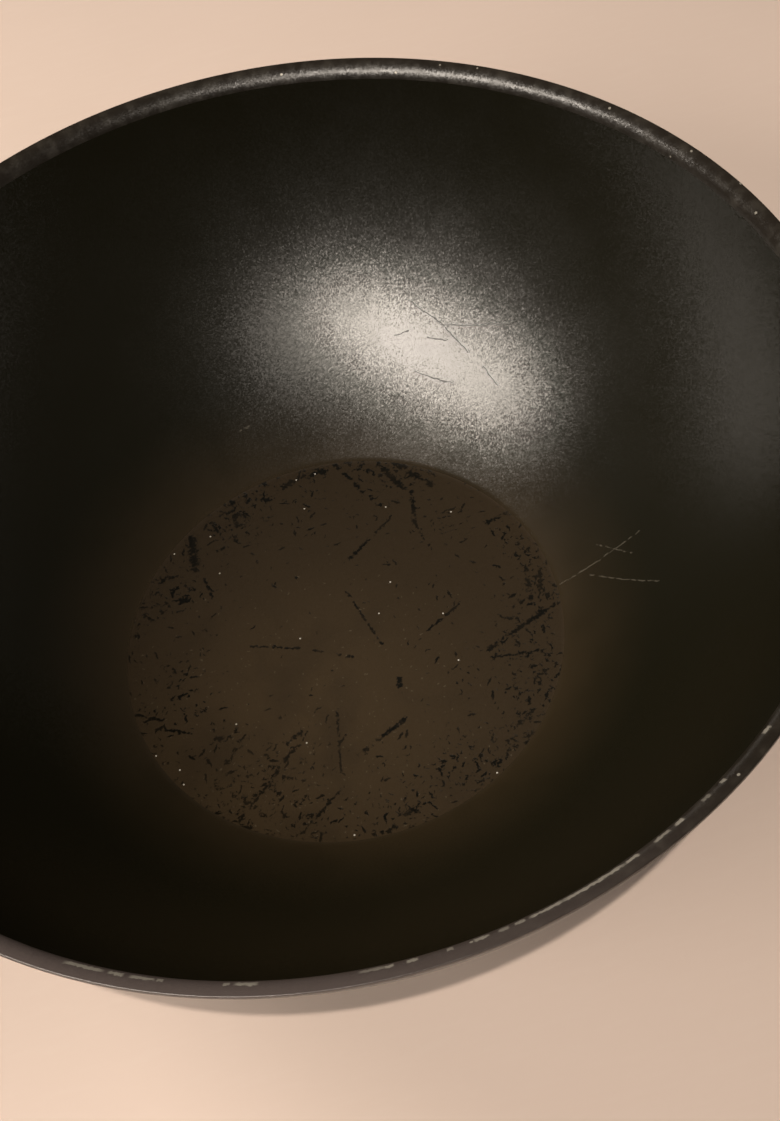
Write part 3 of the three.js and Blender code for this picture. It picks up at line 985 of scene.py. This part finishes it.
def coating_lip():
    """The lip's satin coating, worn through in dashes on its inner rounding and chipped at its edge, with a
    painted sheen that lightens the arc nearest the camera.
    """
    s = Shader("coating_lip")
    inward = s.math("SUBTRACT", RIM_RADIUS, s.radius)
    azimuth = s.math("MULTIPLY", s.math("ARCTAN2", s.y, s.x), 180 / math.pi)
    dashes = []
    for centre, half, strength in LIP_DASHES:
        away = s.math("ABSOLUTE", s.math("SUBTRACT", azimuth, centre))
        dashes.append(s.smooth(away, half * 1.15, half * 0.7, 0.0, strength))
    unsteady = s.product(s.math("SUBTRACT", s.noise(0.9, 2.0).outputs[0], 0.5), 1.2)
    off = s.math("ABSOLUTE", s.math("ADD", s.math("SUBTRACT", inward, 3.5), unsteady))
    band = s.smooth(off, 0.62, 0.3)
    worn = s.product(s.most(*dashes), band)
    chipped = s.smooth(s.math("ABSOLUTE", s.math("SUBTRACT", azimuth, 36)), 50, 20, 0.04, 0.20)
    chip_cells = s.cells(1 / 2.6)
    chip_chance = s.split(chip_cells.outputs["Color"])[0]
    chips = s.smooth(chip_cells.outputs["Distance"], 0.20, 0.12)
    chips = s.product(chips, s.math("LESS_THAN", chip_chance, chipped))
    bare = s.most(worn, chips)
    cloudy = s.noise(0.25, 3.0).outputs[0]
    # Painted sheen: the arc of the lip nearest the camera is painted a lighter grey than the rest of the
    # lip.
    wear_and_sheen = s.smooth(s.math("ABSOLUTE", s.math("ADD", azimuth, 118)), 64, 10)
    colour = s.mix(s.smooth(cloudy, 0.4, 0.7), (0.014, 0.011, 0.008, 1), (0.024, 0.020, 0.015, 1))
    colour = s.mix(wear_and_sheen, colour, (0.070, 0.056, 0.052, 1))
    colour = s.mix(bare, colour, (0.29, 0.27, 0.23, 1))
    roughness = s.blend(bare, s.smooth(cloudy, 0.3, 0.7, 0.28, 0.40), 0.42)
    facets = s.facets(1 / 0.42, 0.14)
    normal = s.bump(s.math("MULTIPLY", bare, -1.0), 0.05, facets, 0.6)
    return s.finish(
        colour=colour,
        metallic=s.product(bare, 0.3),
        roughness=roughness,
        specular=0.6,
        normal=normal,
    )


def coating_outside():
    """The outside's hard satin black enamel, with rubbed patches near the foot."""
    s = Shader("coating_outside")
    tone = s.noise(0.05, 3.0).outputs[0]
    colour = s.mix(s.smooth(tone, 0.35, 0.65), (0.006, 0.006, 0.006, 1), (0.011, 0.010, 0.009, 1))
    foot = s.smooth(s.z, 9, 1.5)
    wear_and_sheen = s.product(foot, s.smooth(s.noise(0.6, 4.0).outputs[0], 0.52, 0.62))
    colour = s.mix(wear_and_sheen, colour, (0.16, 0.15, 0.14, 1))
    roughness = s.smooth(tone, 0.3, 0.7, 0.30, 0.38)
    normal = s.facets(1 / 0.8, 0.12)
    return s.finish(
        colour=colour, roughness=roughness, metallic=s.product(wear_and_sheen, 0.7), normal=normal
    )


def brushed_steel_base():
    """Steel turned on a lathe, with patches of heat tint and scuffs."""
    s = Shader("base_steel")
    rings = s.node("ShaderNodeCombineXYZ")
    s.link(s.radius, rings.inputs[0])
    fine_rings = s.noise(9.0, 3.0, rings.outputs[0]).outputs[0]
    scuffs = s.smooth(s.noise(0.35, 4.0).outputs[0], 0.55, 0.7)
    heat = s.smooth(s.noise(0.03, 2.0).outputs[0], 0.35, 0.7)
    colour = s.mix(heat, (0.50, 0.49, 0.47, 1), (0.38, 0.31, 0.22, 1))
    colour = s.mix(s.product(scuffs, 0.6), colour, (0.18, 0.17, 0.16, 1))
    roughness = s.smooth(fine_rings, 0.3, 0.7, 0.26, 0.46)
    normal = s.bump(fine_rings, 0.03)
    return s.finish(colour=colour, metallic=1.0, roughness=roughness, normal=normal)


def cast_aluminium():
    """Cast metal, tumbled and anodised dark grey, with a fine open grain and darker hollows."""
    s = Shader("cast_aluminium", handle_frame)
    grain = s.noise(1.6, 4.0, rough=0.65).outputs[0]
    tone = s.noise(0.12, 3.0).outputs[0]
    colour = s.mix(s.smooth(tone, 0.3, 0.7), (0.088, 0.088, 0.087, 1), (0.125, 0.123, 0.120, 1))
    colour = s.mix(s.smooth(grain, 0.56, 0.72), colour, (0.050, 0.050, 0.048, 1))
    roughness = s.smooth(grain, 0.3, 0.7, 0.36, 0.52)
    normal = s.bump(grain, 0.16)
    return s.finish(colour=colour, metallic=1.0, roughness=roughness, normal=normal)


def rivet_aluminium():
    """Pressed aluminium, rubbed by utensils on its dome."""
    s = Shader("rivet_aluminium")
    lines = s.noise(1.0, 3.0, s.vector("MULTIPLY", s.place, (0.5, 6, 1))).outputs[0]
    tone = s.noise(0.5, 3.0).outputs[0]
    colour = s.mix(s.smooth(tone, 0.35, 0.65), (0.52, 0.51, 0.49, 1), (0.66, 0.65, 0.63, 1))
    roughness = s.smooth(lines, 0.3, 0.7, 0.24, 0.42)
    normal = s.bump(lines, 0.03)
    return s.finish(colour=colour, metallic=1.0, roughness=roughness, normal=normal)


def guard_steel():
    """Thin stainless sheet, brushed round the handle."""
    s = Shader("guard_steel", handle_frame)
    lines = s.noise(1.0, 4.0, s.vector("MULTIPLY", s.place, (7, 0.35, 0.35))).outputs[0]
    tone = s.noise(0.15, 2.0).outputs[0]
    colour = s.mix(s.smooth(tone, 0.35, 0.65), (0.52, 0.51, 0.49, 1), (0.60, 0.59, 0.57, 1))
    roughness = s.smooth(lines, 0.3, 0.7, 0.24, 0.40)
    normal = s.bump(lines, 0.04)
    return s.finish(colour=colour, metallic=1.0, roughness=roughness, normal=normal)


def phenolic():
    """Black moulded plastic with a fine spark-eroded texture and a faint parting line."""
    s = Shader("phenolic_grip", handle_frame)
    grain = s.noise(2.4, 4.0, rough=0.6).outputs[0]
    tone = s.noise(0.05, 3.0).outputs[0]
    colour = s.mix(s.smooth(tone, 0.3, 0.7), (0.0075, 0.0072, 0.0070, 1), (0.013, 0.0125, 0.012, 1))
    wear_and_sheen = s.product(s.smooth(s.z, 5.0, 9.5), s.smooth(s.x, 80, 110), s.smooth(s.x, 200, 170))
    roughness = s.blend(wear_and_sheen, s.smooth(grain, 0.3, 0.7, 0.44, 0.56), 0.34)
    seam = s.smooth(s.math("ABSOLUTE", s.z), 0.28, 0.08)
    sides = s.smooth(s.math("ABSOLUTE", s.y), 7, 9)
    height = s.math("ADD", s.product(grain, 0.5), s.product(seam, sides))
    normal = s.bump(height, 0.07)
    return s.finish(colour=colour, roughness=roughness, normal=normal)


def zinc_steel(name):
    """Zinc-plated steel with a faint yellow and blue passivation."""
    s = Shader(name, handle_frame)
    tone = s.noise(0.3, 3.0).outputs[0]
    colour = s.mix(s.smooth(tone, 0.35, 0.65), (0.50, 0.49, 0.42, 1), (0.44, 0.47, 0.52, 1))
    grain = s.noise(3.0, 3.0).outputs[0]
    roughness = s.smooth(grain, 0.3, 0.7, 0.26, 0.42)
    normal = s.bump(grain, 0.03)
    return s.finish(colour=colour, metallic=1.0, roughness=roughness, normal=normal)


def table_top():
    """The plain pale surface that the wok stands on."""
    s = Shader("table_top")
    soft = s.noise(0.004, 3.0).outputs[0]
    colour = s.mix(s.smooth(soft, 0.3, 0.7), (0.64, 0.52, 0.45, 1), (0.68, 0.55, 0.48, 1))
    fine = s.noise(0.5, 3.0, s.vector("MULTIPLY", s.place, (0.15, 1, 1))).outputs[0]
    colour = s.mix(s.smooth(fine, 0.45, 0.8, 0.0, 0.12), colour, (0.72, 0.61, 0.54, 1))
    return s.finish(colour=colour, roughness=0.55, specular=0.3)


# ---------------------------------------------------------------- stage, lights and camera


TABLE_RADIUS = 1200
TABLE_THICKNESS = 40
TABLE_GAP = 0.6  # between the table and the base disc

# The camera's place and the point it looks at, counted from the rim's centre in rim radii.
EYE = Vector((0, -1.845, 2.2513))
AIM = Vector((0.110, -0.310, 0))
CAMERA_ROLL = rad(-13.04)
CAMERA_LENS = 52.99

WARM_WHITE = (1.0, 0.90, 0.79)
LAMP_DISTANCE = 2.2
HIGHLIGHT = Vector((57, 91, 31)) * MM  # the middle of the wall's highlight
BASE = Vector((0, 0, 0))

# How bright the room is where it lights matt surfaces, where the camera sees it, and in reflections.
ROOM_LIGHT = 0.13
ROOM_SEEN = 0.88
ROOM_REFLECTED = 0.05


def stage():
    top = -TABLE_GAP
    bottom = -TABLE_THICKNESS
    outline = [(0, top), (TABLE_RADIUS, top), (TABLE_RADIUS, bottom), (0, bottom)]
    table = piece("table", turned("table", outline, 192))
    table.data.materials.append(table_top())


def direction(azimuth, elevation):
    a, e = rad(azimuth), rad(elevation)
    return Vector((math.cos(a) * math.cos(e), math.sin(a) * math.cos(e), math.sin(e)))


def lamp(name, target, azimuth, elevation, width, height, power):
    """A warm oval lamp that faces a point from a given direction."""
    data = bpy.data.lights.new(name, "AREA")
    data.shape = "ELLIPSE"
    data.size = width
    data.size_y = height
    data.energy = power
    data.color = WARM_WHITE
    made = bpy.data.objects.new(name, data)
    bpy.context.scene.collection.objects.link(made)
    made.location = target + LAMP_DISTANCE * direction(azimuth, elevation)
    made.rotation_mode = "QUATERNION"
    made.rotation_quaternion = (target - made.location).to_track_quat("-Z", "Y")
    return made


def lights():
    """The sheen lamps light only gloss, for the highlight. Top and back light only matt, for the shadows."""
    lamp("key", HIGHLIGHT, 215, 41, 1.76, 0.66, 21)
    lamp("key_sheen", HIGHLIGHT, 215, 40, 2.4, 0.54, 46).visible_diffuse = False
    lamp("side_sheen", HIGHLIGHT, 248, 42, 1.3, 0.8, 8).visible_diffuse = False
    lamp("top", BASE, 273, 69.4, 0.03, 0.03, 26).visible_glossy = False
    lamp("back", BASE, 142, 37, 1.0, 1.0, 35).visible_glossy = False


def room():
    """An even pale room."""
    world = bpy.data.worlds.new("room")
    bpy.context.scene.world = world
    world.use_nodes = True
    tree = world.node_tree
    background = tree.nodes["Background"]
    background.inputs["Color"].default_value = (0.80, 0.75, 0.68, 1)
    ray = tree.nodes.new("ShaderNodeLightPath")
    base = tree.nodes.new("ShaderNodeValue")
    base.outputs[0].default_value = ROOM_LIGHT
    strength = base.outputs[0]
    for kind, wanted in (("Is Camera Ray", ROOM_SEEN), ("Is Glossy Ray", ROOM_REFLECTED)):
        step = tree.nodes.new("ShaderNodeMath")
        step.operation = "MULTIPLY_ADD"
        tree.links.new(ray.outputs[kind], step.inputs[0])
        step.inputs[1].default_value = wanted - ROOM_LIGHT
        tree.links.new(strength, step.inputs[2])
        strength = step.outputs[0]
    tree.links.new(strength, background.inputs["Strength"])


def camera():
    """Looks down into the wok from the near side, with the right-hand side dipping."""
    unit = RIM_RADIUS * MM
    rim_centre = Vector((0, 0, RIM_HEIGHT * MM))
    eye = rim_centre + unit * EYE
    aim = rim_centre + unit * AIM
    level = (aim - eye).to_track_quat("-Z", "Y")
    roll = Quaternion((0, 0, 1), CAMERA_ROLL)
    data = bpy.data.cameras.new("camera")
    data.sensor_width = 36
    data.lens = CAMERA_LENS
    data.clip_start = 0.01
    made = bpy.data.objects.new("camera", data)
    bpy.context.scene.collection.objects.link(made)
    made.location = eye
    made.rotation_mode = "QUATERNION"
    made.rotation_quaternion = level @ roll
    bpy.context.scene.camera = made


# ---------------------------------------------------------------- everything


def place_piece(made, node):
    """Says which body a piece moves with, which CAD solid it stands in for."""
    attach(made, "root")
    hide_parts(node)


camera()
lights()
room()
stage()
place_piece(pan_shell(), "pan_shell")
place_piece(base_disc(), "base_disc")
place_piece(handle_bracket(), "handle_bracket")
place_piece(rivet("rivet_a", rivet_frames[0]), "rivet_left")
place_piece(rivet("rivet_b", rivet_frames[1]), "rivet_right")
place_piece(flame_guard(), "flame_guard")
place_piece(handle_grip(), "handle_grip")
place_piece(washer(), "screw_washer")
place_piece(tie_screw(), "tie_screw")

bpy.context.scene.view_settings.view_transform = "Standard"
